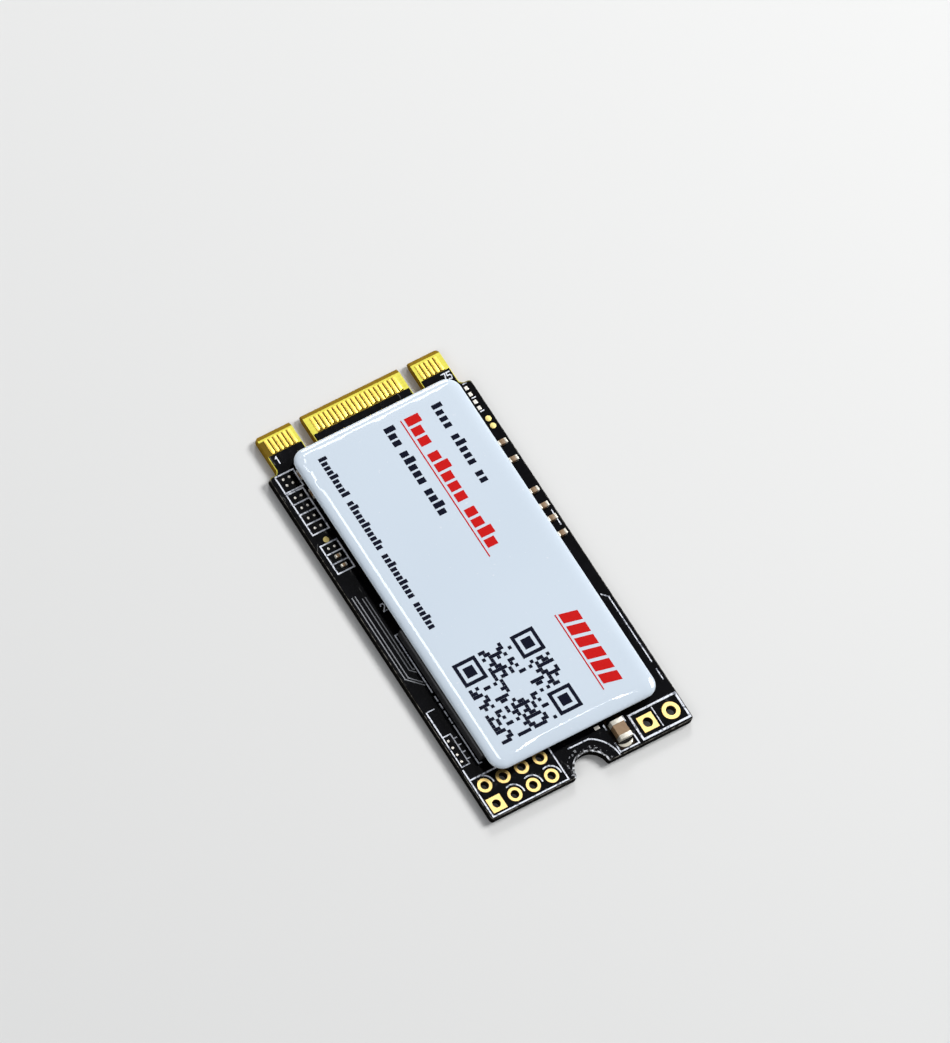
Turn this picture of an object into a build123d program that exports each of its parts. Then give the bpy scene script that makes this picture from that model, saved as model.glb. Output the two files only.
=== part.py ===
import os
from math import atan2, cos, degrees, hypot, radians, sin

from build123d import *

os.makedirs("parts", exist_ok=True)

# The card lies flat on its plain face with its parts and its label up. Y runs from the foot edge,
# which has the half-round screw notch, to the edge with the gold contacts. Places on the card are
# measured from its left and right edges, from its foot edge and from its contact edge.
board_width = 22.0
board_length = 42.0
board_thickness = 0.8
film = 0.03
board_corner = 0.3
shoulder_width = 1.075
tongue_length = 4.0
tongue_corner = 0.3
shoulder_fillet = 0.5
edge_bevel = 0.2
edge_bevel_run = 0.4
notch_radius = 1.75
notch_lip = 0.2
notch_mask_gap = 0.2
key_width = 1.2
key_depth = 3.5
key_from_left = 4.3
key_from_right = 3.8

# Gold contacts, numbered across both faces: odd ones on top, even ones underneath. None stand
# within the key slots' clearance.
contact_pitch = 0.5
contact_width = 0.38
contact_length = 1.5
contact_setback = 0.6
contact_from_side = 0.675
key_clearance = 1.0

# Black solder mask, held back from the cut edges and from the gold.
mask_setback = 0.08
mask_gap = 0.06
track_width = 0.1
track_height = 0.012
notch_ring_width = 0.5

# Through-plated wiring holes at the foot edge: a two-row header and a pair of supply pads.
header_pitch = 2.0
header_columns = 4
header_rows = 2
header_hole_radius = 0.38
header_ring_radius = 0.71
header_square = 1.52
header_from_left = 1.21
header_from_foot = 1.22
supply_pitch = 2.54
supply_hole_radius = 0.46
supply_ring_radius = 0.88
supply_square = 1.64
supply_from_right = 1.47
supply_from_foot = 1.62
plating = 0.05
plating_gap = 0.01

# Chips under the label. Their tops are level, and the label lies on them. The strips are what the
# label covers left and right of the controller, above it, between the chips and below the flash.
chip_top = 1.1
ball_height = 0.25
ball_radius = 0.22
power_strip = 4.4
memory_strip = 2.6
head_strip = 3.86
middle_strip = 4.5
foot_strip = 2.04
flash_ball_pitch = 1.0
flash_ball_margin = 1.5
flash_ball_columns = 8
controller_ball_pitch = 0.8
controller_ball_margin = 1.1

# Input capacitor and its solder.
input_size = (1.25, 2.0, 0.85)
input_end = 0.46
input_wrap = 0.02
input_from_right = 6.88
input_from_foot = 2.0
input_pad_width = 1.52
input_pad_reach = 0.56
input_pad_inside = 0.4
input_solder_rise = 0.45
input_solder_hollow = 0.36

# Small parts beside the chips.
regulator_side = 2.8
regulator_height = 0.75
inductor_size = (2.0, 2.5, 1.0)
inductor_end = 0.45
inductor_step = 2.95
inductor_count = 2
crystal_size = (1.6, 2.0, 0.5)
crystal_lid = 0.12
memory_size = (2.0, 3.0, 0.6)
side_gap = 0.3
small_size = (1.0, 0.5, 0.5)
small_end = 0.25
resistor_size = (1.0, 0.5, 0.35)
tiny_size = (0.6, 0.3, 0.3)
tiny_end = 0.16

# Bare solder and gold on the margins.
dot_radius = 0.13
open_pad_size = (0.36, 0.4)
foot_pad_size = (0.54, 0.34)
test_radius = 0.29
pad_gap = 0.04

# Label: thick, glossy, with a rounded rim.
label_from_left = 2.3
label_from_right = 1.7
label_from_foot = 3.36
label_from_tip = 3.24
label_shift = 0.3
label_thickness = 0.4
label_corner = 1.4
label_rim = 0.3
ink = 0.012

silk_line = 0.14
silk_height = 0.012

left = -board_width / 2
right = board_width / 2
foot = -board_length / 2
tip = board_length / 2
shoulder = tip - tongue_length
tongue_width = board_width - 2 * shoulder_width
key_places = (key_from_left - tongue_width / 2, tongue_width / 2 - key_from_right)
contact_count = int((tongue_width - 2 * contact_from_side) / contact_pitch * 2 + 0.01) + 1
top = board_thickness
core_top = board_thickness - film
mask_edge = tip - contact_setback - contact_length - mask_gap
chips = board_thickness + chip_top
label_width = board_width - label_from_left - label_from_right
label_length = board_length - label_from_foot - label_from_tip
label_left = left + label_from_left
label_right = right - label_from_right
label_foot = foot + label_from_foot
label_head = label_foot + label_length
label_place = (label_left + label_width / 2, label_foot + label_length / 2)
controller_side = label_width - power_strip - memory_strip
controller_left = label_left + power_strip
controller_right = controller_left + controller_side
controller_head = label_head - head_strip
controller_foot = controller_head - controller_side
flash_width = label_width
flash_foot = label_foot + foot_strip
flash_head = controller_foot - middle_strip
flash_length = flash_head - flash_foot


def finish(name, piece):
    piece.label = name
    export_step(piece, "parts/" + name + ".step")


def card_face(plane, inset, notch_gap=0):
    """The card's outline with its notch and key slots, drawn smaller by inset all round, and with
    the notch larger by its own gap."""
    with BuildSketch(plane) as face:
        with Locations((0, (foot + shoulder) / 2)):
            Rectangle(board_width - 2 * inset, shoulder - foot - 2 * inset)
        with Locations((0, (foot + tip) / 2)):
            Rectangle(tongue_width - 2 * inset, board_length - 2 * inset)
        outer = [v for v in face.vertices() if abs(v.X) > tongue_width / 2]
        fillet(outer, board_corner)
        fillet(face.vertices().group_by(Axis.Y)[-1], tongue_corner)
        inner = [v for v in face.vertices() if abs(v.Y - shoulder + inset) < mask_setback / 4]
        inner = [v for v in inner if abs(abs(v.X) - tongue_width / 2 + inset) < mask_setback / 4]
        fillet(inner, shoulder_fillet)
        with Locations((0, foot)):
            Circle(notch_radius + notch_gap, mode=Mode.SUBTRACT)
        lips = [v for v in face.vertices() if abs(v.X) < notch_radius + 2 * notch_lip]
        fillet(lips, notch_lip)
        for place in key_places:
            with Locations((place, tip - key_depth + key_width / 2)):
                Circle(key_width / 2 + inset, mode=Mode.SUBTRACT)
            with Locations((place, tip)):
                Rectangle(key_width + 2 * inset, 2 * key_depth - key_width, mode=Mode.SUBTRACT)
    return face.sketch


header_places = [
    (left + header_from_left + column * header_pitch, foot + header_from_foot + row * header_pitch)
    for row in range(header_rows)
    for column in range(header_columns)
]
supply_places = [
    (right - supply_from_right - (1 - step) * supply_pitch, foot + supply_from_foot)
    for step in range(2)
]

# Glass-fibre laminate: one routed sheet with drilled holes and a bevelled contact edge.
with BuildPart() as circuit_board:
    add(card_face(Plane.XY.offset(film), 0))
    extrude(amount=board_thickness - 2 * film)
    with BuildSketch(Plane.XY):
        with Locations(*header_places):
            Circle(header_hole_radius + plating + plating_gap)
        with Locations(*supply_places):
            Circle(supply_hole_radius + plating + plating_gap)
    extrude(amount=board_thickness, mode=Mode.SUBTRACT)
    with BuildSketch(Plane.YZ):
        for face, inwards in ((core_top, -1), (film, 1)):
            with BuildLine():
                Polyline(
                    (tip, face),
                    (tip, face + inwards * edge_bevel),
                    (tip - edge_bevel_run, face),
                    close=True,
                )
            make_face()
    extrude(amount=tongue_width, both=True, mode=Mode.SUBTRACT)
finish("circuit_board", circuit_board.part)


# Gold contacts: flat plated fingers in three groups. Their inner ends follow the tracks that leave
# them: round in the outer groups, and square, slanted or pointed by turns in the middle one.
def contact_outline(x, shape):
    outer = tip - contact_setback
    inner = outer - contact_length
    low_x = x - contact_width / 2
    high_x = x + contact_width / 2
    step = contact_width / 2
    if shape == "round":
        with BuildLine() as outline:
            Polyline((low_x, inner + step), (low_x, outer), (high_x, outer), (high_x, inner + step))
            ThreePointArc((high_x, inner + step), (x, inner), (low_x, inner + step))
        make_face(outline.edges())
        return
    ends = {
        "square": ((high_x, inner), (low_x, inner)),
        "slanted": ((high_x, inner + step), (low_x, inner)),
        "pointed": ((high_x, inner + step), (x, inner), (low_x, inner + step)),
    }[shape]
    with BuildLine() as outline:
        Polyline((low_x, outer), (high_x, outer), *ends, close=True)
    make_face(outline.edges())


def contact_row(plane, numbers):
    shapes = ("square", "slanted", "pointed")
    with BuildPart() as row:
        with BuildSketch(plane):
            for number in numbers:
                x = (number - (contact_count + 1) / 2) * contact_pitch / 2
                if any(abs(x - place) < key_clearance for place in key_places):
                    continue
                inside = key_places[0] < x < key_places[1]
                contact_outline(x, shapes[number // 2 % 3] if inside else "round")
        extrude(amount=film)
    return row.part


finish("contacts_top", contact_row(Plane.XY.offset(core_top), range(1, contact_count + 1, 2)))
finish("contacts_bottom", contact_row(Plane.XY, range(2, contact_count + 1, 2)))


# Plated holes: a gold barrel through the card with a ring on each face. The first one of each group
# has a square ring.
def plated_holes(places, hole_radius, ring_radius, square):
    with BuildPart() as holes:
        for low in (0, core_top):
            with BuildSketch(Plane.XY.offset(low)):
                with Locations(places[0]):
                    Rectangle(square, square)
                with Locations(*places[1:]):
                    Circle(ring_radius)
            extrude(amount=film)
        with BuildSketch(Plane.XY):
            with Locations(*places):
                Circle(hole_radius + plating)
        extrude(amount=board_thickness)
        with BuildSketch(Plane.XY):
            with Locations(*places):
                Circle(hole_radius)
        extrude(amount=board_thickness, mode=Mode.SUBTRACT)
    return holes.part


finish("header_pads", plated_holes(header_places, header_hole_radius, header_ring_radius, header_square))
finish("supply_pads", plated_holes(supply_places, supply_hole_radius, supply_ring_radius, supply_square))

# Input capacitor beside the notch, long side along Y, on two tinned pads.
input_place = (right - input_from_right, foot + input_from_foot)
input_pad_gap = input_size[1] - 2 * input_pad_inside
input_pad_length = input_pad_inside + input_pad_reach


def input_pads(grow, mode):
    for side in (-1, 1):
        middle = side * (input_pad_gap + input_pad_length) / 2
        with Locations((input_place[0], input_place[1] + middle)):
            Rectangle(input_pad_width + 2 * grow, input_pad_length + 2 * grow, mode=mode)


with BuildPart() as input_capacitor_body:
    with BuildSketch(Plane.XY.offset(top)):
        with Locations(input_place):
            Rectangle(input_size[0], input_size[1] - 2 * input_end)
    extrude(amount=input_size[2])
finish("input_capacitor_body", input_capacitor_body.part)

with BuildPart() as input_capacitor_ends:
    with BuildSketch(Plane.XY.offset(top)):
        for side in (-1, 1):
            with Locations((input_place[0], input_place[1] + side * (input_size[1] - input_end) / 2)):
                Rectangle(input_size[0] + 2 * input_wrap, input_end)
    extrude(amount=input_size[2] + input_wrap)
    fillet(input_capacitor_ends.edges().filter_by(Axis.X).group_by(Axis.Z)[-1], 2 * input_wrap)
finish("input_capacitor_ends", input_capacitor_ends.part)

with BuildPart() as input_capacitor_solder:
    with BuildSketch(Plane.XY.offset(core_top)):
        input_pads(0, Mode.ADD)
    extrude(amount=film)
    with BuildSketch(Plane.YZ.offset(input_place[0])):
        for side in (-1, 1):
            face = input_place[1] + side * input_size[1] / 2
            rise = top + input_solder_rise
            reach = face + side * input_pad_reach
            with BuildLine():
                Polyline((reach, top), (face, top), (face, rise))
                hollow_y = face + side * input_pad_reach * input_solder_hollow
                hollow_z = top + input_solder_rise * input_solder_hollow
                ThreePointArc((face, rise), (hollow_y, hollow_z), (reach, top))
            make_face()
    extrude(amount=input_size[0] / 2, both=True)
finish("input_capacitor_solder", input_capacitor_solder.part)

# Bare tinned pads and gold test points on the margins that the label leaves free.
left_margin = left + 1.45
right_margin = right - 0.82
cell_height = 1.12
cell_width = 1.77
cell_top = shoulder - 2.16
cell_rows = [cell_top - cell_height * (row + 0.5) for row in range(4)]
lower_cell_top = shoulder - 7.9
lower_cell_height = 1.02
lower_rows = [lower_cell_top - lower_cell_height * (row + 0.5) for row in range(3)]
pair_box_top = shoulder - 0.18
pair_box_height = 1.79
pair_rows = (pair_box_top - 0.5, pair_box_top - 1.15)
pad_spread = 0.32
cluster_box = (left + 0.3, foot + 5.68, left + 1.15, foot + 8.95)
cluster_rows = [cluster_box[1] + 0.5 + 0.75 * row for row in range(4)]
dot_places = [
    (left_margin + side * pad_spread, y)
    for y in cell_rows + lower_rows[:1] + list(pair_rows)
    for side in (-1, 1)
]
dot_places += [(left + 0.6, y) for y in cluster_rows]
open_pad_places = [(right_margin, shoulder - drop) for drop in (0.62, 1.3, 2.15, 2.83)]
foot_pad_place = (input_place[0] - 1.64, label_foot - 0.07)
test_places = [(left_margin - 0.02, shoulder - 7.53)]
test_places += [(right_margin + 0.18, shoulder - drop) for drop in (4.1, 4.9)]

with BuildPart() as bare_solder_pads:
    with BuildSketch(Plane.XY.offset(core_top)):
        with Locations(*dot_places):
            Circle(dot_radius)
        with Locations(*open_pad_places):
            Rectangle(*open_pad_size)
        with Locations(foot_pad_place):
            Rectangle(*foot_pad_size)
    extrude(amount=film + silk_height)
finish("bare_solder_pads", bare_solder_pads.part)

with BuildPart() as test_points:
    with BuildSketch(Plane.XY.offset(core_top)):
        with Locations(*test_places):
            Circle(test_radius)
    extrude(amount=film)
finish("test_points", test_points.part)


# Lines on the card's face, each a straight stroke with square ends.
def stroke(start, end, width):
    run = (end[0] - start[0], end[1] - start[1])
    middle = ((start[0] + end[0]) / 2, (start[1] + end[1]) / 2)
    turn = degrees(atan2(run[1], run[0]))
    with Locations(Location((*middle, 0), (0, 0, turn))):
        Rectangle(hypot(*run) + width, width)


def path(points, width=silk_line):
    for start, end in zip(points, points[1:]):
        stroke(start, end, width)


def box(x0, y0, x1, y1, width=silk_line):
    path(((x0, y0), (x1, y0), (x1, y1), (x0, y1), (x0, y0)), width)


def arc(radius, start, size, width=silk_line):
    """A curved stroke about the present place, from the start angle on through the size angle."""
    with BuildLine(mode=Mode.PRIVATE) as curve:
        CenterArc((0, 0), radius, start, size)
    SlotArc(curve.edges()[0], width)


# Tracks that run down the left margin and turn in under the flash chip.
track_top = flash_head + 5.0
track_turn = flash_head - 4.0
track_places = (left + 0.38, left + 0.72, left + 1.21, left + 1.53)
tracks = []
for order, x in enumerate(track_places):
    turn = track_turn + (order // 2) * 0.6
    run = left + 1.66 - x
    tracks.append(((x, track_top - (order // 2) * 0.45), (x, turn), (x + run, turn - run)))


def mask_sheet():
    """Cuts the bare contact edge and the rings of the plated holes out of the mask's sketch."""
    with Locations((0, (mask_edge + tip) / 2)):
        Rectangle(board_width, tip - mask_edge, mode=Mode.SUBTRACT)
    for places, ring, square in (
        (header_places, header_ring_radius, header_square),
        (supply_places, supply_ring_radius, supply_square),
    ):
        with Locations(places[0]):
            Rectangle(square + 2 * mask_gap, square + 2 * mask_gap, mode=Mode.SUBTRACT)
        with Locations(*places[1:]):
            Circle(ring + mask_gap, mode=Mode.SUBTRACT)


with BuildPart() as solder_mask_top:
    with BuildSketch(Plane.XY.offset(core_top)):
        add(card_face(Plane.XY, mask_setback, notch_mask_gap))
        mask_sheet()
        input_pads(pad_gap, Mode.SUBTRACT)
        with Locations(*dot_places):
            Circle(dot_radius + pad_gap, mode=Mode.SUBTRACT)
        with Locations(*open_pad_places):
            Rectangle(*[side + 2 * pad_gap for side in open_pad_size], mode=Mode.SUBTRACT)
        with Locations(foot_pad_place):
            Rectangle(*[side + 2 * pad_gap for side in foot_pad_size], mode=Mode.SUBTRACT)
        with Locations(*test_places):
            Circle(test_radius + pad_gap, mode=Mode.SUBTRACT)
    extrude(amount=film)
    with BuildSketch(Plane.XY.offset(top)):
        for track in tracks:
            path(track, track_width)
        with Locations((0, foot)):
            arc(notch_radius + notch_mask_gap + notch_ring_width / 2, 8, 164, notch_ring_width)
    extrude(amount=track_height)
finish("solder_mask_top", solder_mask_top.part)

with BuildPart() as solder_mask_bottom:
    with BuildSketch(Plane.XY):
        add(card_face(Plane.XY, mask_setback, notch_mask_gap))
        mask_sheet()
    extrude(amount=film)
finish("solder_mask_bottom", solder_mask_bottom.part)

# White ink on the mask: boxes, marks and the plain numbers of the end contacts.
digit_strokes = {
    "1": ((0.2, 0.8), (0.55, 1.0), (0.55, 0.0)),
    "2": ((0.0, 0.8), (0.2, 1.0), (0.8, 1.0), (1.0, 0.8), (1.0, 0.6), (0.0, 0.0), (1.0, 0.0)),
    "5": ((1.0, 1.0), (0.1, 1.0), (0.0, 0.55), (0.7, 0.6), (1.0, 0.35), (0.7, 0.0), (0.0, 0.1)),
    "7": ((0.0, 1.0), (1.0, 1.0), (0.35, 0.0)),
}
digit_height = 0.72
digit_width = 0.36
digit_step = 0.5
digit_line = 0.11


def number(text, x, y):
    for place, digit in enumerate(text):
        corner = x + place * digit_step
        strokes = [(corner + dx * digit_width, y + dy * digit_height) for dx, dy in digit_strokes[digit]]
        path(strokes, digit_line)


header_box = (
    header_places[0][0] - 0.98,
    header_places[0][1] - 1.0,
    header_places[header_columns - 1][0] + 1.22,
    header_places[-1][1] + 1.02,
)
supply_box = (
    supply_places[0][0] - 1.27,
    supply_places[0][1] - 1.28,
    supply_places[1][0] + 1.27,
    supply_places[1][1] + 1.33,
)
supply_divider = (supply_places[0][0] + supply_places[1][0]) / 2 - 0.18
input_box = (input_place[0] - 0.97, input_place[1] - 1.72, input_place[0] + 1.07, input_place[1] + 1.2)
flash_mark_gap = 0.1
flash_left = label_left - label_shift - flash_mark_gap
flash_mark_head = flash_head + flash_mark_gap
flash_mark_foot = flash_foot - flash_mark_gap
flash_mark_line = 0.12
flash_head_run = 6.2
flash_foot_run = 3.9
flash_dash = 0.5
flash_dash_pitch = 0.8
flash_dashes = 5
thin_line = 0.11
right_line = right - 0.42
right_line_head = foot + 13.8
right_line_foot = foot + 6.55
right_line_dashes = ((5.7, 4.6), (23.5, 21.9))
shoulder_marks = (0.15, 1.72, 3.2)
notch_arc = notch_radius + 1.2
notch_arc_end = (1.15, foot + 2.72)
ring_arc = header_ring_radius + 0.26
cell_left = left_margin - cell_width / 2 - 0.02
cell_right = left_margin + cell_width / 2 - 0.02

with BuildPart() as silk_print:
    with BuildSketch(Plane.XY.offset(top)):
        box(*header_box)
        path(((header_box[0], header_box[3]), (header_box[0], header_box[3] + 1.1)))
        box(*supply_box, width=0.2)
        path(((supply_divider, supply_box[1] + 0.35), (supply_divider, supply_box[3] - 0.25)), 0.09)
        for x in (input_box[0], input_box[2]):
            path(((x, input_box[1] + 0.95), (x, input_box[1])))
            path(((x, input_box[3]), (x, input_box[3] - 0.5)))
        path(((input_box[0], input_box[1]), (input_box[2], input_box[1])))
        for y in range(5):
            path(((cell_left, cell_top - y * cell_height), (cell_right, cell_top - y * cell_height)))
        for x in (cell_left, cell_right):
            path(((x, cell_top), (x, cell_top - 4 * cell_height)))
        for y in range(4):
            drop = lower_cell_top - y * lower_cell_height
            path(((cell_left, drop), (cell_right, drop)))
        for x in (cell_left, cell_right):
            path(((x, lower_cell_top), (x, lower_cell_top - 3 * lower_cell_height)))
        box(cell_left, pair_box_top - pair_box_height, cell_right + 0.18, pair_box_top)
        path(((cluster_box[0], cluster_box[3]), (cluster_box[0], cluster_box[3] + 2.7)))
        y = cluster_box[3] + 2.75
        path(((cluster_box[0] + 0.15, y), (cluster_box[2], y)), 0.09)
        box(*cluster_box, width=thin_line)
        for y in cluster_rows:
            path(((cluster_box[2], y), (cluster_box[2] + 0.32, y)), thin_line)
        corner = (flash_left, flash_mark_head)
        low = (flash_left, flash_head - flash_head_run)
        path(((flash_left + 0.7, flash_mark_head), corner, low), flash_mark_line)
        for dash in range(flash_dashes):
            start = low[1] - flash_dash - dash * flash_dash_pitch
            path(((flash_left, start), (flash_left, start - flash_dash)), flash_mark_line)
        corner = (flash_left, flash_mark_foot)
        high = (flash_left, flash_foot + flash_foot_run)
        path((high, corner, (flash_left + 0.3, flash_mark_foot)), flash_mark_line)
        bend = (right_line, right_line_head)
        path(((right_line - 0.5, right_line_head + 0.5), bend, (right_line, right_line_foot)), thin_line)
        for high, low in right_line_dashes:
            path(((right_line, foot + high), (right_line, foot + low)), thin_line)
        for drop in shoulder_marks:
            path(((right - 0.9, shoulder - drop), (right - 0.55, shoulder - drop)), thin_line)
        number("1", left + 1.55, mask_edge - 1.0)
        number("75", right - 2.2, mask_edge - 1.0)
        number("2", left + 2.3, flash_head + 2.6)
        with Locations((0, foot)):
            arc(notch_arc, 3, 64)
        path(((-1.0, foot + 2.75), notch_arc_end))
        with Locations(*header_places[1:header_columns]):
            arc(ring_arc, -5, 115)
        with Locations(header_places[header_columns]):
            arc(ring_arc, 0, 75)
    extrude(amount=silk_height)
finish("silk_print", silk_print.part)


# Chips. Each is one moulded block on rows of solder balls.
def moulded_block(place, width, length, low, height, edge=0.05):
    with BuildPart() as block:
        with BuildSketch(Plane.XY.offset(low)):
            with Locations(place):
                Rectangle(width, length)
        extrude(amount=height)
        chamfer(block.edges().group_by(Axis.Z)[-1], edge)
    return block.part


def solder_balls(place, pitch, columns, rows):
    with BuildPart() as balls:
        with BuildSketch(Plane.XY.offset(top)):
            with Locations(place):
                with GridLocations(pitch, pitch, columns, rows):
                    Circle(ball_radius)
        extrude(amount=ball_height)
    return balls.part


mould_low = top + ball_height
mould_height = chip_top - ball_height
flash_place = (label_place[0] - label_shift, (flash_foot + flash_head) / 2)
flash_ball_rows = int((flash_length - 2 * flash_ball_margin) / flash_ball_pitch + 0.01) + 1
controller_place = ((controller_left + controller_right) / 2, (controller_foot + controller_head) / 2)
controller_ball_span = controller_side - 2 * controller_ball_margin
controller_ball_rows = int(controller_ball_span / controller_ball_pitch + 0.01) + 1
finish("flash_memory", moulded_block(flash_place, flash_width, flash_length, mould_low, mould_height))
balls = solder_balls(flash_place, flash_ball_pitch, flash_ball_columns, flash_ball_rows)
finish("flash_solder_balls", balls)
controller = moulded_block(controller_place, controller_side, controller_side, mould_low, mould_height)
finish("controller", controller)
balls = solder_balls(controller_place, controller_ball_pitch, controller_ball_rows, controller_ball_rows)
finish("controller_solder_balls", balls)

# Power section in the strip left of the controller, and the clock and start-up memory right of it.
power_x = controller_left - side_gap - regulator_side / 2
regulator_place = (power_x, controller_head - regulator_side / 2)
first_inductor = regulator_place[1] - regulator_side / 2 - side_gap - inductor_size[1] / 2
inductor_places = [(power_x, first_inductor - step * inductor_step) for step in range(inductor_count)]
memory_place = (controller_right + side_gap + memory_size[0] / 2, controller_head - memory_size[1] / 2)
crystal_place = (memory_place[0], memory_place[1] - memory_size[1] / 2 - side_gap - crystal_size[1] / 2)

finish(
    "power_regulator",
    moulded_block(regulator_place, regulator_side, regulator_side, top, regulator_height),
)
memory = moulded_block(memory_place, memory_size[0], memory_size[1], top, memory_size[2])
finish("startup_memory", memory)

with BuildPart() as power_inductors:
    with BuildSketch(Plane.XY.offset(top)):
        with Locations(*inductor_places):
            Rectangle(inductor_size[0], inductor_size[1] - 2 * inductor_end)
    extrude(amount=inductor_size[2])
finish("power_inductors", power_inductors.part)

with BuildPart() as inductor_ends:
    with BuildSketch(Plane.XY.offset(top)):
        for x, y in inductor_places:
            for side in (-1, 1):
                with Locations((x, y + side * (inductor_size[1] - inductor_end) / 2)):
                    Rectangle(inductor_size[0], inductor_end)
    extrude(amount=inductor_size[2])
finish("inductor_ends", inductor_ends.part)

with BuildPart() as crystal:
    with BuildSketch(Plane.XY.offset(top)):
        with Locations(crystal_place):
            Rectangle(crystal_size[0], crystal_size[1])
    extrude(amount=crystal_size[2] - crystal_lid)
finish("crystal_base", crystal.part)

with BuildPart() as crystal_can:
    with BuildSketch(Plane.XY.offset(top + crystal_size[2] - crystal_lid)):
        with Locations(crystal_place):
            RectangleRounded(crystal_size[0] - 0.2, crystal_size[1] - 0.2, 0.2)
    extrude(amount=crystal_lid)
finish("crystal_lid", crystal_can.part)


# Chip capacitors and resistors: a body between two metal ends, the long side along X at turn 0.
def chip_pieces(places, size, end):
    length, width, height = size
    with BuildPart() as bodies:
        with BuildSketch(Plane.XY.offset(top)):
            with Locations(*[Location((x, y, 0), (0, 0, turn)) for x, y, turn in places]):
                Rectangle(length - 2 * end, width)
        extrude(amount=height)
    ends_at = []
    for x, y, turn in places:
        for side in (-1, 1):
            reach = side * (length - end) / 2
            spot = (x + reach * cos(radians(turn)), y + reach * sin(radians(turn)), 0)
            ends_at.append(Location(spot, (0, 0, turn)))
    with BuildPart() as ends:
        with BuildSketch(Plane.XY.offset(top)):
            with Locations(*ends_at):
                Rectangle(end, width)
        extrude(amount=height)
    return bodies.part, ends.part


edge_row_x = right - 0.98
edge_rows = (6.8, 8.7, 12.2, 13.9, 15.3, 17.0)
gap_row = (flash_head + controller_foot) / 2
lane_row = controller_head + 1.1
lane_step = 1.2
lane_count = 6
gap_step = 2.5
gap_margin = 2.0
gap_offset = 0.9
gap_count = int((label_width - 2 * gap_margin) / gap_step + 0.01) + 1
gap_columns = [gap_step * (column - (gap_count - 1) / 2) for column in range(gap_count)]
rim_column = label_left + 0.55
rim_rows = (1.0, 3.1)
resistor_step = 1.0
resistor_count = 3

capacitor_places = [(edge_row_x, shoulder - drop, 0) for drop in edge_rows]
capacitor_places += [(rim_column, shoulder - drop, 90) for drop in rim_rows]
capacitor_places += [(x, gap_row + gap_offset, 0) for x in gap_columns]
lane_start = controller_place[0] - (lane_count - 1) / 2 * lane_step
capacitor_places += [(lane_start + step * lane_step, lane_row, 90) for step in range(lane_count)]
capacitor_bodies, capacitor_ends = chip_pieces(capacitor_places, small_size, small_end)
finish("capacitor_bodies", capacitor_bodies)
finish("capacitor_ends", capacitor_ends)

resistor_places = [(x, gap_row - gap_offset, 0) for x in gap_columns]
first_resistor = crystal_place[1] - crystal_size[1] / 2 - resistor_step
for step in range(resistor_count):
    resistor_places.append((memory_place[0], first_resistor - step * resistor_step, 0))
resistor_bodies, resistor_ends = chip_pieces(resistor_places, resistor_size, small_end)
finish("resistor_bodies", resistor_bodies)
finish("resistor_ends", resistor_ends)

tiny_places = [(left_margin, y, 0) for y in lower_rows[1:]]
tiny_bodies, tiny_ends = chip_pieces(tiny_places, tiny_size, tiny_end)
finish("margin_capacitor_bodies", tiny_bodies)
finish("margin_capacitor_ends", tiny_ends)

# Label, stuck to the level tops of the chips, and its ink.
with BuildPart() as label:
    with BuildSketch(Plane.XY.offset(chips)):
        with Locations(label_place):
            RectangleRounded(label_width, label_length, label_corner)
    extrude(amount=label_thickness)
    fillet(label.edges().group_by(Axis.Z)[-1], label_rim)
finish("label", label.part)

ink_face = Plane.XY.offset(chips + label_thickness)


# Rows of plain upright blocks stand for lines of print. They run down the card with their feet
# towards its left edge.
def block_row(base, start, height, words, block, gap, space):
    y = start
    for word, count in enumerate(words):
        for letter in range(count):
            tall = height if (letter * 3 + word) % 4 == 0 else height * 0.74
            if y - block > code_head:
                with Locations((base + tall / 2, y - block / 2)):
                    Rectangle(tall, block)
            y -= block + gap
        y -= space


def rule(base, start, end, width):
    with Locations((base + width / 2, (start + end) / 2)):
        Rectangle(width, start - end)


code_cells = 25
code_corner = 7
code_gap = 0.012
code_from_left = 1.93
code_from_right = 7.32
code_from_foot = 2.0
code_side = label_width - code_from_left - code_from_right
code_cell = code_side / code_cells
code_low = (label_left + code_from_left, label_foot + code_from_foot)
code_head = code_low[1] + code_side
line_start = label_head - 1.86
small_line = (label_left + 2.08, line_start + 0.2, 0.85)
middle_line = (label_right - 8.92, line_start, 1.1)
side_line = (label_right - 3.72, line_start, 1.05)
red_line = (label_right - 6.67, line_start, 1.5)
red_rule = label_right - 7.07
red_rule_foot = label_foot + 18.34
slant_rule = label_right - 4.89
slant_head = label_foot + 10.6
slant_left = label_right - 4.55
slant_right = slant_left + 1.85
slant_step = 1.34
rule_width = 0.12
with BuildPart() as dark_print:
    with BuildSketch(ink_face):
        block_row(*small_line, (9, 11, 10, 6), 0.36, 0.13, 0.5)
        block_row(*middle_line, (3, 5, 4), 0.54, 0.2, 0.5)
        block_row(*side_line, (4, 5, 2), 0.46, 0.24, 0.6)
    extrude(amount=ink)
finish("label_dark_print", dark_print.part)

with BuildPart() as red_print:
    with BuildSketch(ink_face):
        block_row(*red_line, (3, 5, 4), 0.86, 0.26, 0.62)
        rule(red_rule, line_start, red_rule_foot, rule_width)
        rule(slant_rule, slant_head + 0.1, label_foot + 2.4, rule_width)
        for step in range(6):
            y = slant_head - step * slant_step
            low = (slant_left, y - 1.0)
            high = (slant_right, y - 1.4)
            with BuildLine() as slant:
                Polyline((slant_left, y), (slant_right, y - 0.4), high, low, close=True)
            make_face(slant.edges())
    extrude(amount=ink)
finish("label_red_print", red_print.part)


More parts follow.
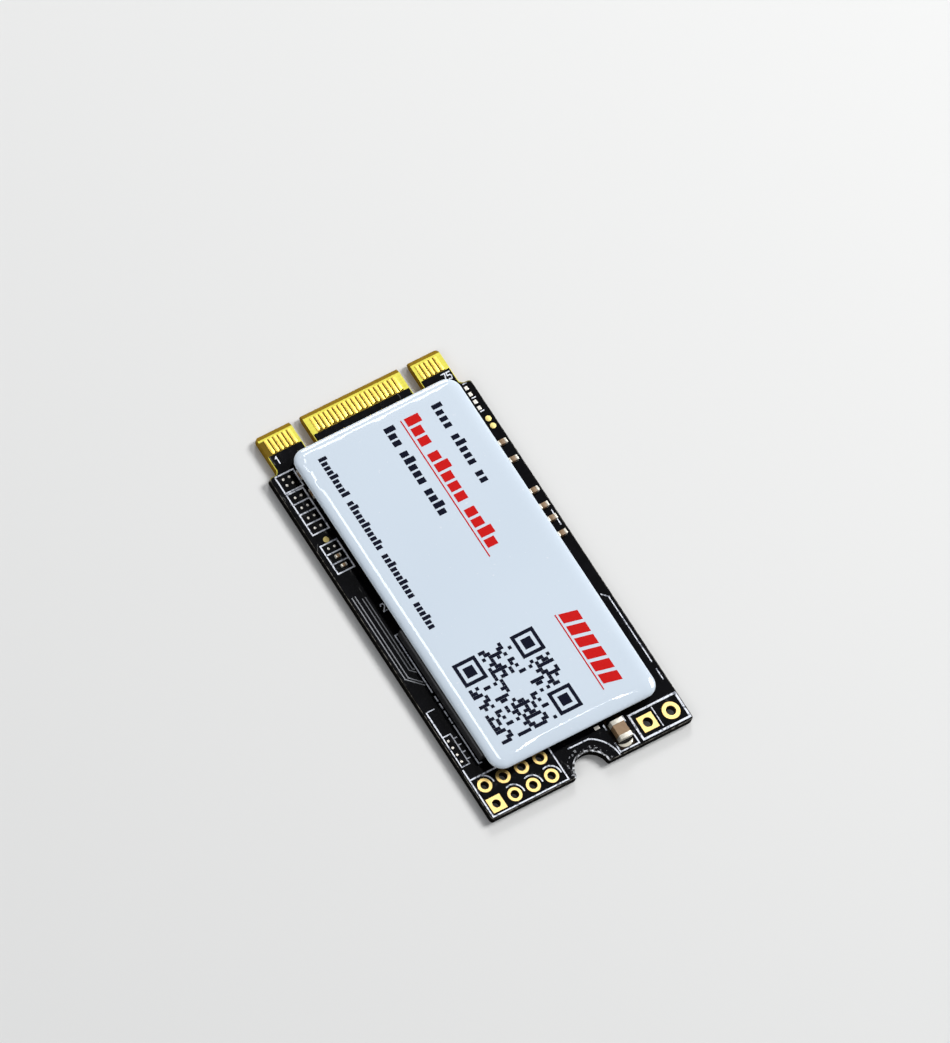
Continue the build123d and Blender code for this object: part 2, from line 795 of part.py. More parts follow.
# Square field of dark cells with three corner squares, set out by a rule and standing for nothing.
def cell_is_dark(column, row):
    near_left = column <= code_corner
    near_right = column >= code_cells - code_corner - 1
    near_top = row >= code_cells - code_corner - 1
    near_foot = row <= code_corner
    if near_top and (near_left or near_right) or near_right and near_foot:
        return False
    if abs(column - code_cells // 2) <= 2 and abs(row - code_cells // 2) <= 3:
        return False
    return (column * column * 3 + row * row * 5 + column * row * 7 + column) % 11 < 5


with BuildPart() as code_print:
    with BuildSketch(ink_face):
        for row in range(code_cells):
            y = code_low[1] + (row + 0.5) * code_cell
            start = None
            for column in range(code_cells + 1):
                dark = column < code_cells and cell_is_dark(column, row)
                if dark and start is None:
                    start = column
                if not dark and start is not None:
                    width = (column - start) * code_cell - code_gap
                    with Locations((code_low[0] + (column + start) / 2 * code_cell, y)):
                        Rectangle(width, code_cell - code_gap)
                    start = None
        for column, row in ((0, 1), (1, 1), (1, 0)):
            span = code_corner * code_cell
            x = code_low[0] + span / 2 + column * (code_side - span)
            y = code_low[1] + span / 2 + row * (code_side - span)
            with Locations((x, y)):
                Rectangle(span - code_gap, span - code_gap)
                Rectangle(span - 2 * code_cell, span - 2 * code_cell, mode=Mode.SUBTRACT)
                Rectangle(3 * code_cell, 3 * code_cell)
    extrude(amount=ink)
finish("label_code_print", code_print.part)
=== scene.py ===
import math

import bmesh
import bpy
from mathutils import Matrix, Quaternion, Vector


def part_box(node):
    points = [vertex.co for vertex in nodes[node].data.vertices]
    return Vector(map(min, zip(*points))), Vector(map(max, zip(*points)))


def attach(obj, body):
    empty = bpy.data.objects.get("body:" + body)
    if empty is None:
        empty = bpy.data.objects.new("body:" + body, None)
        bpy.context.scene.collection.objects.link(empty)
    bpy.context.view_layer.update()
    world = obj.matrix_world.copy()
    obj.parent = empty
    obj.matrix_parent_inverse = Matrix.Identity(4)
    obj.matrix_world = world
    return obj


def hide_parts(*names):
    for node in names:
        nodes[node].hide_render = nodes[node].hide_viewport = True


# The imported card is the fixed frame: it lies flat on the ground, with its label up and its contacts
# towards +Y.
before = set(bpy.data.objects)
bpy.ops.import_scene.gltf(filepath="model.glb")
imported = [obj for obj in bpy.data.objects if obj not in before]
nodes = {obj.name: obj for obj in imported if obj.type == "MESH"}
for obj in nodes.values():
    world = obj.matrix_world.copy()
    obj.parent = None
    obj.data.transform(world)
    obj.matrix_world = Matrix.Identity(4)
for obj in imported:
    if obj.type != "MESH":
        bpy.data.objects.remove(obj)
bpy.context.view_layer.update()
mm = 0.001


# Laminate: woven glass in amber resin, routed to shape. On the tongue it is bare and shows olive
# gold. Round the body its routed wall is painted near black as shade, and the thin bare strip
# beyond the mask carries broken painted glints, bright ones round the notch.
class Socket:
    """One output in a material's node tree. Arithmetic on it adds Math nodes."""

    def __init__(self, tree, end):
        self.tree = tree
        self.end = end

    def node(self, kind, settings, sockets, out=0):
        """Adds a node of this kind, sets it, fills or links its sockets and gives one output."""
        made = self.tree.nodes.new(kind)
        for name, value in settings.items():
            setattr(made, name, value)
        for name, value in sockets.items():
            if isinstance(value, Socket):
                self.tree.links.new(value.end, made.inputs[name])
            else:
                made.inputs[name].default_value = value
        return Socket(self.tree, made.outputs[out])

    def math(self, operation, first, second=0.0):
        return self.node("ShaderNodeMath", {"operation": operation}, {0: first, 1: second})

    def __add__(self, other):
        return self.math("ADD", self, other)

    def __radd__(self, other):
        return self.math("ADD", other, self)

    def __sub__(self, other):
        return self.math("SUBTRACT", self, other)

    def __rsub__(self, other):
        return self.math("SUBTRACT", other, self)

    def __mul__(self, other):
        return self.math("MULTIPLY", self, other)

    def __rmul__(self, other):
        return self.math("MULTIPLY", other, self)

    def __gt__(self, other):
        return self.math("GREATER_THAN", self, other)

    def __lt__(self, other):
        return self.math("LESS_THAN", self, other)

    def __abs__(self):
        return self.math("ABSOLUTE", self)

    def axis(self, letter):
        """The X, Y or Z of a vector."""
        return self.node("ShaderNodeSeparateXYZ", {}, {0: self}, out="XYZ".index(letter))

    def noise(self, scale, detail=2.0, stretch=(1, 1, 1)):
        """Soft noise on these coordinates, with scale in features a metre."""
        pulled = self.node("ShaderNodeMapping", {}, {"Vector": self, "Scale": stretch})
        sockets = {"Vector": pulled, "Scale": scale, "Detail": detail}
        return self.node("ShaderNodeTexNoise", {}, sockets)

    def blend(self, first, second):
        """From the first colour to the second, by this value."""
        sockets = {0: self, 6: first, 7: second}
        return self.node("ShaderNodeMix", {"data_type": "RGBA"}, sockets, out=2)

    def between(self, low, high):
        """Rises smoothly from 0 at low to 1 at high."""
        limits = {"Value": self, "From Min": low, "From Max": high}
        return self.node("ShaderNodeMapRange", {"interpolation_type": "SMOOTHSTEP"}, limits)

    def bump(self, height, strength=1.0):
        """A normal for a relief that is height metres deep where this value is 1."""
        sockets = {"Height": self, "Distance": height, "Strength": strength}
        return self.node("ShaderNodeBump", {}, sockets)

    def feed(self, shader, name):
        self.tree.links.new(self.end, shader.inputs[name])


def finish(name, values):
    """A new material with plain values on its shader, that shader, and the Object coordinates."""
    material = bpy.data.materials.new(name)
    material.use_nodes = True
    tree = material.node_tree
    shader = tree.nodes["Principled BSDF"]
    for key, value in values.items():
        shader.inputs[key].default_value = value
    return material, shader, Socket(tree, tree.nodes.new("ShaderNodeTexCoord").outputs["Object"])


def dress(material, *names):
    """Gives this material to CAD pieces that keep their own mesh."""
    for name in names:
        nodes[name].data.materials.clear()
        nodes[name].data.materials.append(material)


board_low, board_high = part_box("circuit_board")
board_top = 0.8 * mm
film = 0.03 * mm
tongue_length = 4.0 * mm
contact_setback = 0.6 * mm
contact_length = 1.5 * mm
finger_rows = (-10.0, -6.56), (-4.44, 4.94), (7.06, 9.44)
face_depth = film + 0.004 * mm
mask_edge = 10.85 * mm
foot_border = 0.15 * mm
notch_reach = 2.0 * mm

shoulder = board_high.y - tongue_length
contact_head = board_high.y - contact_setback
contact_foot = contact_head - contact_length
laminate, shader, place = finish("laminate", {"Specular IOR Level": 0.05})
across, along, height = place.axis("X"), place.axis("Y"), place.axis("Z")
faces = (height > board_top - face_depth) + (height < face_depth)
mottle = place.noise(1400.0, 4.0)
threads = {"Vector": place, "Scale": 900.0, "Distortion": 1.5}
warp = place.node("ShaderNodeTexWave", {"bands_direction": "X"}, threads)
weft = place.node("ShaderNodeTexWave", {"bands_direction": "Y"}, threads)
weave = (warp + weft) * 0.5

# On the tongue the resin between neighbouring fingers is painted darker, as shade.
olive = (mottle * 0.6 + weave * 0.4).blend((0.74, 0.66, 0.080, 1), (0.96, 0.90, 0.150, 1))
among_fingers = 0
for left, right in finger_rows:
    among_fingers = among_fingers + (across > left * mm) * (across < right * mm)
below_tips = (contact_head + 0.04 * mm - along).between(0.0, 0.08 * mm)
painted_finger_shade = along.between(contact_foot - 0.18 * mm, contact_foot) * below_tips * among_fingers
resin = painted_finger_shade.blend(olive, (0.17, 0.105, 0.008, 1))
cut_grain = place.noise(6000.0, 2.0, (1, 1, 0.15))
cut_resin = cut_grain.blend((0.20, 0.118, 0.008, 1), (0.36, 0.22, 0.020, 1))
tongue = faces.blend(cut_resin, resin)

# Round the body the bare strip beyond the mask carries broken painted glints, bright ones round the
# notch, and brown laminate shows in the gaps of the mask.
up_from_foot = along - board_low.y
beside_notch = across * across + up_from_foot * up_from_foot < notch_reach**2
beyond_mask = (abs(across) > mask_edge) + (up_from_foot < foot_border)
glint_spots = place.noise(2600.0, 3.0).between(0.42, 0.62)
glints = glint_spots.blend((0.030, 0.029, 0.028, 1), (0.78, 0.80, 0.84, 1))
border = glint_spots.blend((0.020, 0.018, 0.015, 1), (0.17, 0.16, 0.14, 1))
rim = beside_notch.blend(beyond_mask.blend((0.020, 0.011, 0.004, 1), border), glints)
# The routed wall round the body is painted near black, as shade; the tongue's cut wall keeps its
# amber.
wall_grain = place.noise(9000.0, 2.0, (1, 1, 0.1))
painted_dark_wall = wall_grain.blend((0.001, 0.001, 0.001, 1), (0.007, 0.006, 0.005, 1))
body = faces.blend(painted_dark_wall, rim)

on_tongue = along.between(shoulder - 0.3 * mm, shoulder + 0.5 * mm)
on_tongue.blend(body, tongue).feed(shader, "Base Color")
(0.92 - faces * 0.5 + mottle * 0.08).feed(shader, "Roughness")
(weave * 0.5 + place.noise(16000.0) * 0.5).bump(0.008 * mm, 0.6).feed(shader, "Normal")
dress(laminate, "circuit_board")

# Solder mask: glossy black film over both faces, in low relief where copper runs below it. Leads
# run down from the contacts. The raised tracks on the left margin are painted light grey, partly
# as mask over copper and partly as painted highlight, and the raised ring round the notch carries
# broken painted glints.
lead_pitch = 1.0 * mm
ring_limit = -12 * mm
mask, shader, place = finish("solder_mask", {"IOR": 1.36})
along, height = place.axis("Y"), place.axis("Z")
orange_peel = place.noise(3500.0, 3.0)
pour = place.noise(700.0, 1.0).between(0.47, 0.53)
lead_waves = {"Vector": place, "Scale": math.tau / (20 * lead_pitch)}
near_contacts = along.between(shoulder + 0.4 * mm, shoulder + 1.5 * mm)
leads = near_contacts * place.node("ShaderNodeTexWave", {"bands_direction": "X"}, lead_waves)
raised = height > board_top + 0.005 * mm
tracks = raised * (along > ring_limit)
ring_glints = raised * (along < ring_limit) * place.noise(4200.0, 2.0).between(0.60, 0.68)
tint = orange_peel * 0.5 + pour * 0.3 + leads * 0.5
black = tint.blend((0.0006, 0.0006, 0.0009, 1), (0.0035, 0.0035, 0.005, 1))
# Painted glints on the ring round the notch, and on the tracks a painted highlight over the paler
# mask on copper.
black = ring_glints.blend(black, (0.34, 0.35, 0.37, 1))
tracks.blend(black, (0.30, 0.31, 0.33, 1)).feed(shader, "Base Color")
(0.05 + orange_peel * 0.09 + tracks * 0.2).feed(shader, "Roughness")
(orange_peel * 0.5 + pour * 0.7 + leads).bump(0.006 * mm).feed(shader, "Normal")
dress(mask, "solder_mask_top", "solder_mask_bottom")


# Gold plate on the contacts and the test points, with fine marks along the way the card slides.
# Plating rounds every edge a little. The test points are set less metallic than gold is, so that
# they aren't too dark in the label's shade.
def rounded(name, node, width, segments=2):
    """A copy of a CAD piece with its flat faces made whole again and its sharp edges rounded."""
    mesh = bmesh.new()
    mesh.from_mesh(nodes[node].data)
    bmesh.ops.remove_doubles(mesh, verts=mesh.verts, dist=0.0005 * mm)
    bmesh.ops.dissolve_limit(mesh, angle_limit=math.radians(2), verts=mesh.verts, edges=mesh.edges)
    sharp = [e for e in mesh.edges if e.is_manifold and e.calc_face_angle() > math.radians(35)]
    bmesh.ops.bevel(
        mesh,
        geom=sharp,
        offset=width,
        offset_type="OFFSET",
        affect="EDGES",
        segments=segments,
        profile=0.5,
        material=-1,
        clamp_overlap=True,
    )
    return piece(name, mesh, node)


def piece(name, mesh, *replaced, sharp_from=50):
    """Makes an object of the finished mesh, smooth on round parts, that stands for CAD pieces."""
    data = bpy.data.meshes.new(name)
    mesh.to_mesh(data)
    mesh.free()
    made = bpy.data.objects.new(name, data)
    bpy.context.scene.collection.objects.link(made)
    data.shade_smooth()
    data.set_sharp_from_angle(angle=math.radians(sharp_from))
    made.modifiers.new("flat faces first", "WEIGHTED_NORMAL").keep_sharp = True
    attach(made, "root")
    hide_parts(*replaced)
    return made


def gold_plate(name, colour, roughness, metal=1.0):
    """Gold of this colour on the flats, with painted shade: brown on rounded edges, dark inside a
    hole.
    """
    gold, shader, place = finish(name, {"Metallic": metal})
    height = place.axis("Z")
    rubbed = place.noise(2600.0, 2.0, (3, 0.6, 1))
    cloud = place.noise(1500.0, 2.0)
    red, green, blue = colour
    dull = (0.92 * red, 0.92 * green, 0.84 * blue, 1)
    plate = (rubbed * 0.6 + cloud * 0.4).blend(dull, (*colour, 1))
    edge = 0.006 * mm
    off_the_flats = (height > edge) * (height < board_top - edge)
    inside_hole = (height > film) * (height < board_top - film)
    # Painted shade: brown where the plating turns over an edge, darker still inside a hole.
    plate = off_the_flats.blend(plate, (0.14, 0.065, 0.018, 1))
    inside_hole.blend(plate, (0.045, 0.028, 0.010, 1)).feed(shader, "Base Color")
    (roughness + rubbed * 0.16).feed(shader, "Roughness")
    rubbed.bump(0.001 * mm, 0.4).feed(shader, "Normal")
    return gold


contact_gold = gold_plate("contact_gold", (1.0, 0.71, 0.14), 0.34)
for node in ("contacts_top", "contacts_bottom"):
    fingers = rounded(node.replace("contacts", "fingers"), node, 0.012 * mm)
    fingers.data.materials.append(contact_gold)
dot_gold = gold_plate("dot_gold", (1.0, 0.80, 0.29), 0.40, metal=0.3)
dots = rounded("test_dots", "test_points", 0.008 * mm)
dots.data.materials.append(dot_gold)


# Plated holes: each is a gold barrel through the board with a ring on either face. The first hole
# of each group has a square ring, which marks its first pin.
def eyelet(mesh, centre, hole, reach, square=False):
    """Turns one plated hole about its axis, and draws its rings out to a square where asked."""
    plating = 0.05 * mm
    slope = 0.026 * mm
    lip_width, lip_depth = 0.008 * mm, 0.01 * mm
    half = [
        (hole, film),
        (hole + slope, 0),
        (reach - slope, 0),
        (reach - lip_width, lip_depth),
        (reach, film),
        (hole + plating, film),
    ]
    lower = [(out, centre.z + up) for out, up in half]
    upper = [(out, centre.z + board_top - up) for out, up in reversed(half)]
    verts = [mesh.verts.new((centre.x + out, centre.y, z)) for out, z in lower + upper]
    edges = [mesh.edges.new(pair) for pair in zip(verts, verts[1:] + verts[:1])]
    bmesh.ops.spin(
        mesh,
        geom=verts + edges,
        cent=centre,
        axis=(0, 0, 1),
        angle=math.tau,
        steps=48,
        use_merge=True,
    )
    if square:
        for vert in mesh.verts:
            arm = vert.co - centre
            arm.z = 0
            if hole + 2 * slope < arm.length < reach + slope:
                vert.co += arm * (arm.length / max(abs(arm.x), abs(arm.y)) - 1)


ring_gold = gold_plate("ring_gold", (1.0, 0.73, 0.29), 0.36)
for node, first, pitch, columns, rows, hole, reach, half_square in (
    ("header_pads", (0.76, 0.76, 0), 2.0, 4, 2, 0.38, 0.71, 0.76),
    ("supply_pads", (0.82, 0.88, 0), 2.54, 2, 1, 0.46, 0.88, 0.82),
):
    first_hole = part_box(node)[0] + Vector(first) * mm
    mesh = bmesh.new()
    eyelet(mesh, first_hole, hole * mm, half_square * mm, square=True)
    for number in range(1, columns * rows):
        step = Vector((number % columns, number // columns, 0)) * pitch * mm
        eyelet(mesh, first_hole + step, hole * mm, reach * mm)
    bmesh.ops.recalc_face_normals(mesh, faces=mesh.faces)
    rings = piece(node.replace("pads", "rings"), mesh, node, sharp_from=20)
    rings.data.materials.append(ring_gold)

# White ink: boxes, marks and numbers, screened over the mask and baked. It is matt, and grey where
# the screen left it thin.
ink, shader, place = finish("white_ink", {"Specular IOR Level": 0.3})
grain = place.noise(9000.0, 3.0)
cover = place.noise(3200.0, 3.0).between(0.36, 0.50)
cover.blend((0.24, 0.26, 0.31, 1), (0.88, 0.92, 1.0, 1)).feed(shader, "Base Color")
(0.5 + grain * 0.2).feed(shader, "Roughness")
grain.bump(0.006 * mm).feed(shader, "Normal")
dress(ink, "silk_print")

# Tinned ends of the small parts: a thin cream-coloured plating wrapped over both ends of each body,
# matt from its grain.
tin, shader, place = finish("tin", {"Specular IOR Level": 0.6})
grain = place.noise(5000.0, 4.0)
grain.blend((0.52, 0.49, 0.41, 1), (0.86, 0.83, 0.73, 1)).feed(shader, "Base Color")
(0.30 + grain * 0.15).feed(shader, "Metallic")
(0.34 + grain * 0.2).feed(shader, "Roughness")
grain.bump(0.006 * mm, 0.7).feed(shader, "Normal")
for node in (
    "input_capacitor_ends",
    "margin_capacitor_ends",
    "capacitor_ends",
    "resistor_ends",
    "inductor_ends",
):
    caps = rounded(node.replace("ends", "caps"), node, 0.03 * mm)
    caps.data.materials.append(tin)

# Solder under the input capacitor's two ends: it climbs the end caps in a hollow curve and runs
# out to the rounded edge of each pad. Where it climbs it is smooth metal painted near black, as
# shade and a dark reflection, and the head end's fillet is painted as dark, as the label's shadow.
solder, shader, place = finish("solder", {})
across, along, height = place.axis("X"), place.axis("Y"), place.axis("Z")
grain = place.noise(3000.0, 3.0)
bright = grain.blend((0.78, 0.73, 0.60, 1), (0.96, 0.91, 0.77, 1))
# Painted shadow: the head end's fillet, where the label's shadow falls, is painted near black.
by_capacitor = along < -15 * mm
label_shadow = (along > -18.1 * mm) * (across > 3.3 * mm)
steep = height.between(board_top + 0.09 * mm, board_top + 0.13 * mm)
climb_and_shadow = place.math("MINIMUM", steep + label_shadow, 1.0) * by_capacitor
climb_and_shadow.blend(bright, (0.030, 0.028, 0.025, 1)).feed(shader, "Base Color")
(0.15 + climb_and_shadow * 0.8).feed(shader, "Metallic")
(0.12 + grain * 0.16).feed(shader, "Roughness")
grain.bump(0.012 * mm, 0.5).feed(shader, "Normal")

low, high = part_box("input_capacitor_solder")
ends_low, ends_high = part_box("input_capacitor_ends")
middle, half_width = (low.x + high.x) / 2, (high.x - low.x) / 2
thinnest = 0.012 * mm
climb_height = high.z - board_top - 0.08 * mm
crown_height = 0.06 * mm
mesh = bmesh.new()
for side, face, reach in (
    (-1, ends_low.y, ends_low.y - low.y),
    (1, ends_high.y, high.y - ends_high.y),
):
    sheet = bmesh.ops.create_grid(mesh, x_segments=16, y_segments=12, size=1.0)["verts"]
    for vert in sheet:
        aside = vert.co.x
        out = (vert.co.y + 1) / 2
        bow = math.sqrt(1 - 0.9 * aside**2)
        climb = (1 - out) ** 4 * (1 - 0.35 * aside**4)
        crown = (1 - out**8) * (1 - aside**4)
        vert.co.x = middle + aside * half_width * (1 - 0.06 * out)
        vert.co.y = face + side * reach * out * bow
        vert.co.z = board_top + thinnest + climb_height * climb + crown_height * crown
    rim_edges = [e for e in mesh.edges if e.is_boundary and e.verts[0] in sheet]
    skirt = bmesh.ops.extrude_edge_only(mesh, edges=rim_edges)["geom"]
    for vert in (part for part in skirt if isinstance(part, bmesh.types.BMVert)):
        vert.co.z = low.z
bmesh.ops.holes_fill(mesh, edges=[e for e in mesh.edges if e.is_boundary])
bmesh.ops.recalc_face_normals(mesh, faces=mesh.faces)
fillets = piece("input_capacitor_fillets", mesh, "input_capacitor_solder")
fillets.data.materials.append(solder)

# Bare pads on the margins: each carries a low pillow of solder. Its colour is set paler than that
# of the fillets' solder, because these pads look nearly white in the photograph.
pale_solder, shader, place = finish("pale_solder", {"Metallic": 0.15})
grain = place.noise(3000.0, 3.0)
# Painted light: this paler copy of the solder lifts the pads that sit in shade.
grain.blend((0.94, 0.89, 0.79, 1), (1.0, 0.97, 0.89, 1)).feed(shader, "Base Color")
(0.14 + grain * 0.16).feed(shader, "Roughness")
grain.bump(0.012 * mm, 0.5).feed(shader, "Normal")
pillows = rounded("solder_pillows", "bare_solder_pads", 0.036 * mm, 3)
pillows.data.materials.append(pale_solder)


# Solder balls between the chips and the card: soldering makes a barrel of each, flattened above and
# below by the two faces.
def barrels(name, node, spacing):
    """Fills this node's box with a grid of balls, cut flat at its top and its bottom."""
    radius = 0.22 * mm
    low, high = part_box(node)
    columns = round((high.x - low.x - 2 * radius) / spacing) + 1
    rows = round((high.y - low.y - 2 * radius) / spacing) + 1
    first_ball = Vector((low.x + radius, low.y + radius, (low.z + high.z) / 2))
    mesh = bmesh.new()
    for column in range(columns):
        for row in range(rows):
            bmesh.ops.create_uvsphere(
                mesh,
                u_segments=12,
                v_segments=8,
                radius=radius,
                matrix=Matrix.Translation(first_ball + Vector((column, row, 0)) * spacing),
            )
    for level, outwards in ((low.z, -1), (high.z, 1)):
        bmesh.ops.bisect_plane(
            mesh,
            geom=[*mesh.verts, *mesh.edges, *mesh.faces],
            plane_co=(0, 0, level),
            plane_no=(0, 0, outwards),
            clear_outer=True,
        )
    bmesh.ops.holes_fill(mesh, edges=[e for e in mesh.edges if e.is_boundary])
    made = piece(name, mesh, node)
    made.data.materials.append(solder)


barrels("flash_barrels", "flash_solder_balls", 1.0 * mm)
barrels("controller_barrels", "controller_solder_balls", 0.8 * mm)

# Tan ceramic: the capacitors' bodies, fired from many thin layers, with a slight mottle. Tumbling
# has rounded their edges.
tan, shader, place = finish("tan_ceramic", {"Specular IOR Level": 0.45})
cloud = place.noise(2200.0, 4.0)
cloud.blend((0.20, 0.11, 0.05, 1), (0.37, 0.24, 0.125, 1)).feed(shader, "Base Color")
(0.38 + cloud * 0.15).feed(shader, "Roughness")
place.noise(14000.0, 2.0).bump(0.004 * mm).feed(shader, "Normal")
for node in ("input_capacitor_body", "margin_capacitor_bodies", "capacitor_bodies"):
    block = rounded(node.replace("body", "block").replace("bodies", "blocks"), node, 0.02 * mm)
    block.data.materials.append(tan)

# Dark bodies: the resistors' ceramic, the crystal's base and the inductors' ferrite. All are hard,
# dull and nearly black.
dark, shader, place = finish("dark_ceramic", {"Specular IOR Level": 0.4})
cloud = place.noise(2600.0, 3.0)
cloud.blend((0.016, 0.016, 0.018, 1), (0.045, 0.044, 0.047, 1)).feed(shader, "Base Color")
(0.45 + cloud * 0.2).feed(shader, "Roughness")
place.noise(12000.0, 2.0).bump(0.006 * mm).feed(shader, "Normal")
dress(dark, "resistor_bodies", "crystal_base", "power_inductors")

# Crystal's lid: a thin plated metal lid, brushed, and welded down over the base to seal the crystal
# in.
lid, shader, place = finish("plated_lid", {"Metallic": 1.0})
brushed = place.noise(4000.0, 3.0, (1, 12, 1))
brushed.blend((0.58, 0.58, 0.57, 1), (0.78, 0.78, 0.76, 1)).feed(shader, "Base Color")
(0.28 + brushed * 0.15).feed(shader, "Roughness")
brushed.bump(0.002 * mm).feed(shader, "Normal")
dress(lid, "crystal_lid")

# Moulded chips: black epoxy, matt and finely pitted by the mould, with broken edges. The two large
# ones stand on solder balls.
epoxy, shader, place = finish("mould_compound", {"Specular IOR Level": 0.4})
pits = place.noise(9000.0, 4.0)
pits.blend((0.008, 0.008, 0.009, 1), (0.022, 0.022, 0.024, 1)).feed(shader, "Base Color")
(0.5 + pits * 0.2).feed(shader, "Roughness")
pits.bump(0.012 * mm).feed(shader, "Normal")
for node in ("flash_memory", "controller", "power_regulator", "startup_memory"):
    chip = rounded(node + "_package", node, 0.03 * mm)
    chip.data.materials.append(epoxy)

# Label: a thick clear-coated sticker, domed along its rim, that lies over the chips. Its rim waves
# a little at the contact end and droops past the memory chip at the foot, and two capacitors push
# it up from below near the upper left corner.
low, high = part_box("label")
size = high - low
corner_radius = 1.4 * mm
rim_step = 0.5 * mm
upright_edge = 0.08 * mm
dome_steps = (
    (0.03, 0.060),
    (0.06, 0.065),
    (0.09, 0.055),
    (0.12, 0.045),
    (0.15, 0.035),
    (0.18, 0.026),
    (0.20, 0.017),
    (0.20, 0.010),
    (0.20, 0.005),
    (0.07, 0.002),
)
mesh = bmesh.new()
bmesh.ops.create_grid(mesh, x_segments=1, y_segments=1, size=0.5)
bmesh.ops.scale(mesh, verts=mesh.verts, vec=(size.x, size.y, 1))
foot_centre = ((low.x + high.x) / 2, (low.y + high.y) / 2, low.z)
bmesh.ops.translate(mesh, verts=mesh.verts, vec=foot_centre)
bmesh.ops.bevel(
    mesh,
    geom=list(mesh.verts),
    offset=corner_radius,
    offset_type="OFFSET",
    affect="VERTICES",
    segments=12,
    profile=0.5,
    material=-1,
)
for edge in [e for e in mesh.edges if e.calc_length() > 4 * mm]:
    bmesh.ops.subdivide_edges(mesh, edges=[edge], cuts=round(edge.calc_length() / rim_step))
lifted = bmesh.ops.extrude_face_region(mesh, geom=list(mesh.faces), use_keep_orig=True)["geom"]
sheet = [part for part in lifted if isinstance(part, bmesh.types.BMFace)]
top_verts = [v for f in sheet for v in f.verts]
bmesh.ops.translate(mesh, verts=top_verts, vec=(0, 0, upright_edge))
for inwards, upwards in dome_steps:
    bmesh.ops.inset_region(
        mesh,
        faces=sheet,
        thickness=inwards * mm,
        use_even_offset=True,
        use_boundary=True,
    )
    top_verts = [v for f in sheet for v in f.verts]
    bmesh.ops.translate(mesh, verts=top_verts, vec=(0, 0, upwards * mm))
for axis, normal in ((0, (1, 0, 0)), (1, (0, 1, 0))):
    for step in range(1, round(size[axis] / mm)):
        cut = low.copy()
        cut[axis] += step * mm
        bmesh.ops.bisect_plane(
            mesh,
            geom=[*mesh.verts, *mesh.edges, *mesh.faces],
            plane_co=cut,
            plane_no=normal,
        )

wavy_end = 1.6
wave_depth = 0.012 * mm
droop_start, droop_run, droop_depth = 1.9, 1.4, 0.05 * mm
swelling_height = 0.055 * mm
swellings = (low.x + 0.45 * mm, high.y - 1.8 * mm), (low.x + 0.45 * mm, high.y - 3.9 * mm)
for vert in mesh.verts:
    if vert.co.z < low.z + 0.1 * mm:
        continue
    from_axis = vert.co.x / mm
    from_sides = min(vert.co.x - low.x, high.x - vert.co.x) / mm
    from_foot, from_head = (vert.co.y - low.y) / mm, (high.y - vert.co.y) / mm
    inside = min(from_sides, from_foot, from_head)
    if from_head < wavy_end:
        near_rim = math.exp(-((inside - 0.6) ** 2) / 0.12)
        waves = 1 + math.sin(from_axis * 2.1) * math.sin(from_axis * 0.83 + 1)
        vert.co.z -= wave_depth * near_rim * waves
    overhang = min(1.0, max(0.0, (droop_start - from_foot) / droop_run))
    between_corners = math.exp(-(((from_axis - 0.5) / 5.5) ** 4))
    behind_rim = min(1.0, inside / 0.3)
    vert.co.z -= droop_depth * overhang**2 * (3 - 2 * overhang) * between_corners * behind_rim
    for x, y in swellings:
        away = ((vert.co.x - x) ** 2 + (vert.co.y - y) ** 2) / mm**2
        vert.co.z += swelling_height * math.exp(-away / 0.16)
bmesh.ops.recalc_face_normals(mesh, faces=mesh.faces)
label = piece("label_dome", mesh, "label")

sticker, shader, place = finish("label_film", {"Coat Roughness": 0.015, "Coat Weight": 0.6})
drift = place.noise(60.0, 2.0)
specks = place.noise(2500.0, 2.0).between(0.70, 0.78)
tone = drift.blend((0.65, 0.742, 0.84, 1), (0.71, 0.80, 0.895, 1))
tone = specks.blend(tone, (0.78, 0.84, 0.92, 1))
# The label's edge is darker brown along its lowest 0.05 mm.
edge_foot = place.axis("Z") < low.z + 0.05 * mm
edge_foot.blend(tone, (0.16, 0.14, 0.09, 1)).feed(shader, "Base Color")
(0.03 + drift * 0.02).feed(shader, "Roughness")
place.noise(110.0, 1.0).bump(0.05 * mm, 0.5).feed(shader, "Normal")
label.data.materials.append(sticker)


# Ink on the label: thin flat fields, near-black blue and red, printed on the film and nearly as
# glossy.
def label_ink(name, thin, full, *names):
    """Prints these fields in one ink, from its thin colour to its full one."""
    print_ink, shader, place = finish(name, {"Specular IOR Level": 0.3})
    cover = place.noise(5000.0, 3.0)
    cover.blend(thin, full).feed(shader, "Base Color")
    (0.08 + cover * 0.06).feed(shader, "Roughness")
    cover.bump(0.001 * mm).feed(shader, "Normal")
    dress(print_ink, *names)


label_ink(
    "dark_ink",
    (0.006, 0.008, 0.026, 1),
    (0.002, 0.003, 0.009, 1),
    "label_dark_print",
    "label_code_print",
)
label_ink("red_ink", (0.68, 0.014, 0.012, 1), (0.58, 0.006, 0.006, 1), "label_red_print")

# Floor: a plain pale ground, wide enough to fill the picture. It is no part of the card and only
# carries its shadow.
mesh = bmesh.new()
bmesh.ops.create_grid(mesh, x_segments=1, y_segments=1, size=1.5)
data = bpy.data.meshes.new("floor")
mesh.to_mesh(data)
mesh.free()
floor = bpy.data.objects.new("floor", data)
bpy.context.scene.collection.objects.link(floor)
pale = {"Base Color": (0.80, 0.80, 0.79, 1), "Roughness": 0.8, "Specular IOR Level": 0.2}
ground, shader, place = finish("floor", pale)
data.materials.append(ground)


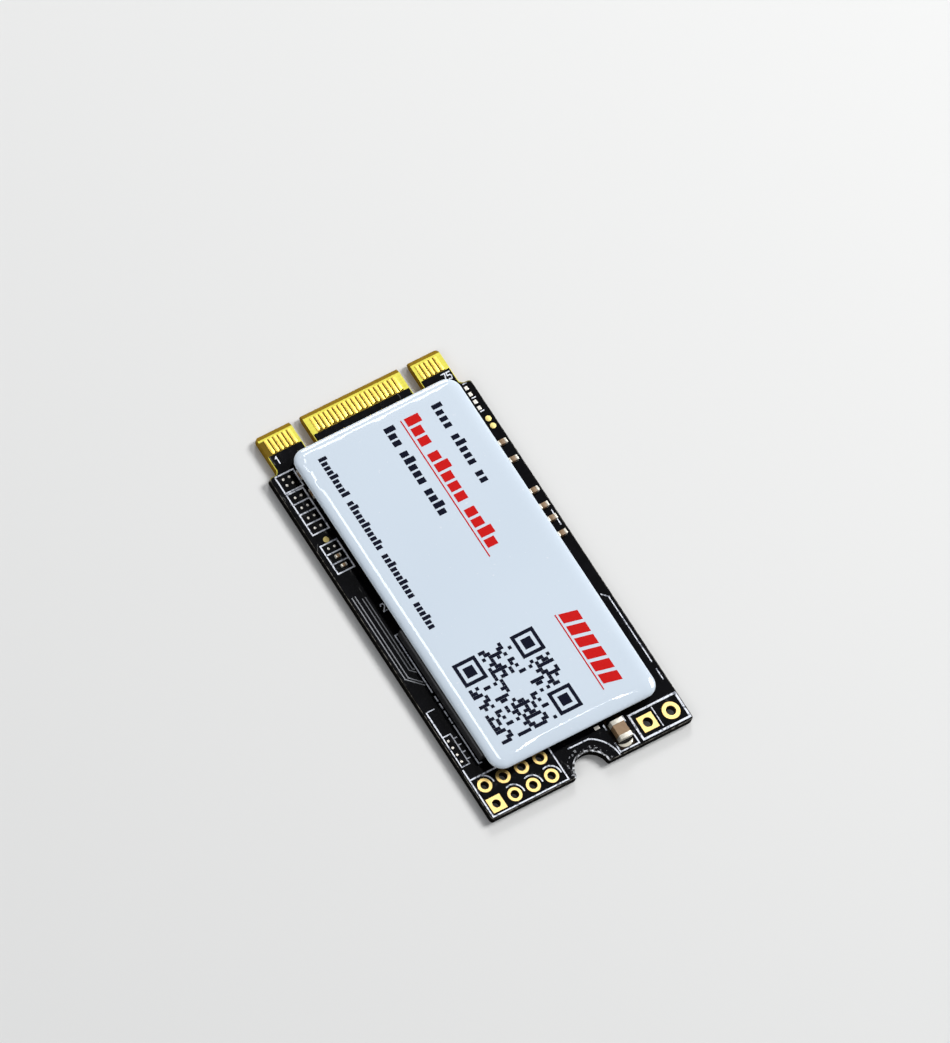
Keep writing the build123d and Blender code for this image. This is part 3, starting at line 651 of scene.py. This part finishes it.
# Lamps and world: three broad soft boxes round the card, and three narrow ones high above it, whose
# reflections run along the label's rim. The world is pale and dim.
def lamp(name, direction, distance, width, depth, watts):
    """A soft box that faces the card, its width along X and its depth along Y."""
    light = bpy.data.lights.new(name, "AREA")
    light.shape = "RECTANGLE"
    light.size, light.size_y = width, depth
    light.energy = watts
    outwards = Vector(direction).normalized()
    sideways = Vector((0, 1, 0)).cross(outwards).normalized()
    turned = Matrix((sideways, outwards.cross(sideways), outwards)).transposed()
    stand = bpy.data.objects.new(name, light)
    stand.location = outwards * distance
    stand.rotation_mode = "QUATERNION"
    stand.rotation_quaternion = turned.to_quaternion()
    bpy.context.scene.collection.objects.link(stand)


lamp("key", (0.75, 0.05, 0.66), 0.7, 0.25, 0.25, 4.1)
lamp("back", (0.45, 0.75, 0.50), 0.8, 0.30, 0.20, 2.0)
lamp("front", (-0.75, -0.20, 0.62), 0.8, 0.35, 0.35, 1.0)
lamp("rim_left", (0.264, 0.27, 0.926), 0.6, 0.035, 0.16, 0.10)
lamp("rim_foot", (0.391, 0.091, 0.915), 0.25, 0.006, 0.008, 0.0022)
lamp("rim_head", (0.39, 0.48, 0.785), 0.6, 0.14, 0.03, 0.08)
world = bpy.data.worlds.new("world")
bpy.context.scene.world = world
world.use_nodes = True
background = world.node_tree.nodes["Background"]
background.inputs["Color"].default_value = (0.92, 0.95, 1.0, 1)
background.inputs["Strength"].default_value = 0.2

# Camera: it looks down on the card from beyond its lower left corner, through a long lens, as was
# fitted to the rows of contacts and the card's corners.
turn, rise, roll = math.radians(-55.416), math.radians(61.566), math.radians(25.401)
looked_at = Vector((3.64, 4.74, 0.8)) * mm
camera_distance = 1.75867
sideways, backwards = math.sin(turn) * math.cos(rise), -math.cos(turn) * math.cos(rise)
towards_camera = Vector((sideways, backwards, math.sin(rise)))
upright = (-towards_camera).to_track_quat("-Z", "Y")
camera = bpy.data.objects.new("camera", bpy.data.cameras.new("camera"))
camera.data.sensor_width = 36
camera.data.lens = 673.74
camera.location = looked_at + towards_camera * camera_distance
camera.rotation_mode = "QUATERNION"
camera.rotation_quaternion = upright @ Quaternion((0, 0, 1), roll)
bpy.context.scene.collection.objects.link(camera)
bpy.context.scene.camera = camera
bpy.context.scene.view_settings.view_transform = "Standard"
